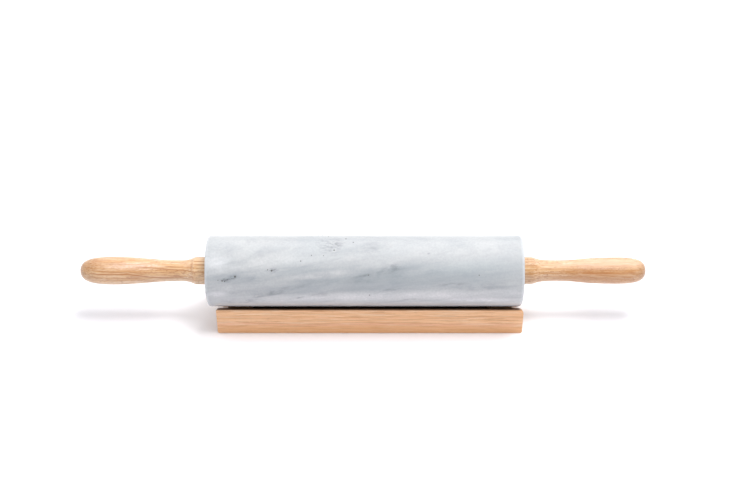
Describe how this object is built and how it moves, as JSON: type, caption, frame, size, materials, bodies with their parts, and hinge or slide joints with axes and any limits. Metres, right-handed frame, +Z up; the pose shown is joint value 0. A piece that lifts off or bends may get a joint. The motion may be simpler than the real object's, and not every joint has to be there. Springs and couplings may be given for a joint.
{
  "type": "marble rolling pin with cradle",
  "caption": "Rolling pin with a polished stone barrel that turns on a steel axle between turned wooden handles, lying in an open wooden cradle of two rails and two saddles.",
  "frame": {"origin": "on the surface the cradle stands on, below the middle of the pin's whole length", "axes": "+X along the pin towards its right handle, +Z up, and the picture's view is from the -Y side"},
  "size_m": [0.4608, 0.0584, 0.0782],
  "materials": {
    "marble": "polished pale grey marble with blue-grey veins",
    "handle_wood": "turned and lacquered pale hardwood",
    "cradle_wood": "planed and sanded pale hardwood",
    "steel": "drawn bright steel",
    "brass": "machined",
    "nylon": "moulded natural nylon"
  },
  "bodies": {
    "cradle": {"front_rail": "cradle_wood", "back_rail": "cradle_wood", "left_saddle": "cradle_wood", "right_saddle": "cradle_wood", "cradle_dowels": "cradle_wood"},
    "barrel": {"marble_barrel": "marble", "left_bush": "nylon", "right_bush": "nylon"},
    "handles": {"axle_rod": "steel", "left_washer": "steel", "right_washer": "steel", "left_insert": "brass", "right_insert": "brass", "left_handle": "handle_wood", "right_handle": "handle_wood"}
  },
  "joints": [
    {"name": "lift_off", "type": "slide", "parent": "cradle", "child": "barrel", "axis": [0, 0, 1], "range_m": [0, 0.1]},
    {"name": "barrel_roll", "type": "hinge", "parent": "barrel", "child": "handles", "pos_m": [0.0016, 0, 0.049], "axis": [1, 0, 0], "continuous": true}
  ]
}
